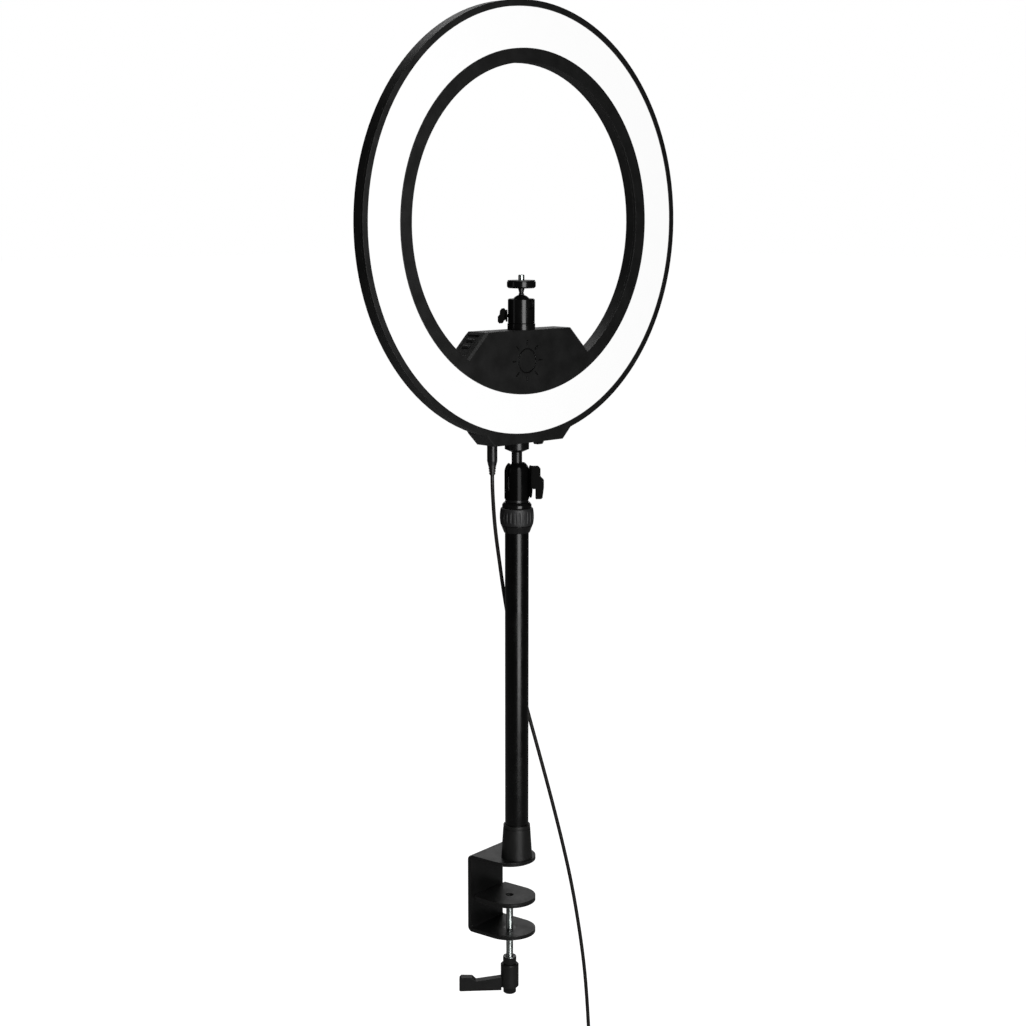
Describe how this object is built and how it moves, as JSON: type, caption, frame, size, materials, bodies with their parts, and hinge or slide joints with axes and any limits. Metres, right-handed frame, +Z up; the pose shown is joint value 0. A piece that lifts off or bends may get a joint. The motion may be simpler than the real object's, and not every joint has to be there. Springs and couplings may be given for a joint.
{
  "type": "desk-clamp ring light",
  "caption": "Ring light on a telescopic desk-clamp pole, with a tilting ball head, a small camera ball head above its control hub and a power lead.",
  "frame": {"origin": "on the underside of the clamp's top pad (the desk surface), on the pole's axis", "axes": "+Z up along the pole; the light faces -Y; +X is to the right seen from the front"},
  "size_m": [0.44, 0.1242, 1.1845],
  "materials": {
    "bracket_steel": "satin powder coat",
    "pad_rubber": "fine matt",
    "zinc_steel": "zinc plated",
    "black_metal": "semi-gloss black",
    "black_plastic": "fine texture",
    "tube_paint": "satin black",
    "inner_tube_metal": "satin black",
    "grip_rubber": "ribbed matt",
    "gloss_black": "glossy",
    "head_paint": "semi-gloss black anodised",
    "white_plastic": "natural",
    "shell_plastic": "matt black",
    "diffuser_white": "opal",
    "board": "solder mask",
    "led": "phosphor",
    "jack_plastic": "moulded",
    "brass": "machined",
    "button_plastic": "moulded",
    "cable_jacket": "satin jacket",
    "plug_plastic": "moulded"
  },
  "bodies": {
    "stand": {"clamp_bracket": "bracket_steel", "top_pad": "pad_rubber", "jaw_bush": "black_metal", "base_bolt": "zinc_steel", "base_sleeve": "black_plastic", "base_plug": "black_plastic", "outer_tube": "tube_paint", "tube_top_ring": "gloss_black", "collet": "black_plastic"},
    "movable_jaw": {"jaw_pad": "pad_rubber", "jaw_plate": "bracket_steel", "jaw_retainer": "black_metal"},
    "screw": {"clamp_screw": "zinc_steel", "lever_insert": "black_metal", "lever_screw": "black_metal", "lever_spring": "zinc_steel"},
    "lever": {"lever_handle": "black_plastic"},
    "collar": {"twist_collar": "grip_rubber", "collar_top_ring": "gloss_black"},
    "pole_bush": {"guide_bush": "black_plastic"},
    "pole_top": {"inner_tube": "inner_tube_metal", "tube_plug": "black_plastic", "neck_ring": "black_metal", "tilt_housing": "head_paint", "ball_seat": "white_plastic", "dc_lead": "cable_jacket", "lead_tail": "cable_jacket", "lead_coil": "cable_jacket", "power_adapter": "plug_plastic", "adapter_prongs": "zinc_steel"},
    "lower_knob": {"tilt_knob": "black_plastic", "tilt_knob_screw": "black_metal"},
    "ring_head": {"rear_shell": "shell_plastic", "outer_bezel": "shell_plastic", "hub_cover": "shell_plastic", "diffuser": "diffuser_white", "led_board": "board", "reflector_sheet": "white_plastic", "led_chips": "led", "driver_board": "board", "dc_jack": "jack_plastic", "threaded_inserts": "brass", "housing_screws": "zinc_steel", "tilt_ball": "black_metal", "dc_plug": "plug_plastic", "plug_strain_relief": "cable_jacket", "camera_head_base": "head_paint", "camera_head_housing": "head_paint", "camera_seat": "white_plastic"},
    "brightness_up": {"brightness_up_button": "button_plastic"},
    "brightness_down": {"brightness_down_button": "button_plastic"},
    "temperature_up": {"temperature_up_button": "button_plastic"},
    "temperature_down": {"temperature_down_button": "button_plastic"},
    "power_key": {"power_button": "button_plastic"},
    "camera_ball_body": {"camera_ball": "black_metal"},
    "camera_stem_body": {"camera_stem": "black_metal"},
    "camera_platform": {"camera_plate": "head_paint", "camera_pad": "pad_rubber", "camera_screw": "zinc_steel"},
    "camera_lock": {"camera_knob": "black_plastic"}
  },
  "joints": [
    {"name": "jaw_slide", "type": "slide", "parent": "stand", "child": "movable_jaw", "axis": [0, 0, 1], "range_m": [-0.025, 0.025]},
    {"name": "screw_turn", "type": "hinge", "parent": "movable_jaw", "child": "screw", "pos_m": [-0.00133, 0.00961, -0.08], "axis": [0, 0, 1], "range_deg": [-7210, 7210]},
    {"name": "lever_lift", "type": "slide", "parent": "screw", "child": "lever", "axis": [0, 0, -1], "range_m": [0, 0.004], "stiffness_N_per_m": 800, "springref_m": -0.002, "deforming": ["lever_spring"]},
    {"name": "collar_twist", "type": "hinge", "parent": "stand", "child": "collar", "pos_m": [0, 0, 0.376], "axis": [0, 0, 1], "range_deg": [0, 120]},
    {"name": "pole_extend", "type": "slide", "parent": "stand", "child": "pole_bush", "axis": [0, 0, 1], "range_m": [0, 0.23]},
    {"name": "pole_swivel", "type": "hinge", "parent": "pole_bush", "child": "pole_top", "pos_m": [0, 0, 0.3], "axis": [0, 0, 1], "range_deg": [-180, 180]},
    {"name": "lower_knob_turn", "type": "hinge", "parent": "pole_top", "child": "lower_knob", "pos_m": [0, 0, 0.4133], "axis": [0.766, -0.6428, 0], "range_deg": [-180, 180]},
    {"name": "ring_tilt", "type": "hinge", "parent": "pole_top", "child": "ring_head", "pos_m": [0, 0, 0.4235], "axis": [1, 0, 0], "range_deg": [-90, 11], "deforming": ["dc_lead"]},
    {"name": "camera_lean", "type": "hinge", "parent": "ring_head", "child": "camera_ball_body", "pos_m": [0, -0.0065, 0.597], "axis": [0, 1, 0], "range_deg": [-20, 20]},
    {"name": "camera_tilt", "type": "hinge", "parent": "camera_ball_body", "child": "camera_stem_body", "pos_m": [0, -0.0065, 0.597], "axis": [1, 0, 0], "range_deg": [-20, 90]},
    {"name": "camera_pan", "type": "hinge", "parent": "camera_stem_body", "child": "camera_platform", "pos_m": [0, -0.0065, 0.614], "axis": [0, 0, 1], "range_deg": [-180, 180]},
    {"name": "camera_lock_turn", "type": "hinge", "parent": "ring_head", "child": "camera_lock", "pos_m": [0, -0.0065, 0.586], "axis": [-0.7169, 0.6972, 0], "range_deg": [-180, 180]},
    {"name": "brightness_up_press", "type": "slide", "parent": "ring_head", "child": "brightness_up", "axis": [0.7071, 0, -0.7071], "range_m": [0, 0.0006], "stiffness_N_per_m": 1000, "springref_m": -0.0006},
    {"name": "brightness_down_press", "type": "slide", "parent": "ring_head", "child": "brightness_down", "axis": [0.7071, 0, -0.7071], "range_m": [0, 0.0006], "stiffness_N_per_m": 1000, "springref_m": -0.0006},
    {"name": "temperature_up_press", "type": "slide", "parent": "ring_head", "child": "temperature_up", "axis": [-0.7071, 0, -0.7071], "range_m": [0, 0.0006], "stiffness_N_per_m": 1000, "springref_m": -0.0006},
    {"name": "temperature_down_press", "type": "slide", "parent": "ring_head", "child": "temperature_down", "axis": [-0.7071, 0, -0.7071], "range_m": [0, 0.0006], "stiffness_N_per_m": 1000, "springref_m": -0.0006},
    {"name": "power_press", "type": "slide", "parent": "ring_head", "child": "power_key", "axis": [0, 0, 1], "range_m": [0, 0.0015], "stiffness_N_per_m": 700, "springref_m": -0.001}
  ],
  "couplings": [
    {"joint": "screw_turn", "follows": "jaw_slide", "rad_per_m": 5026.5}
  ]
}
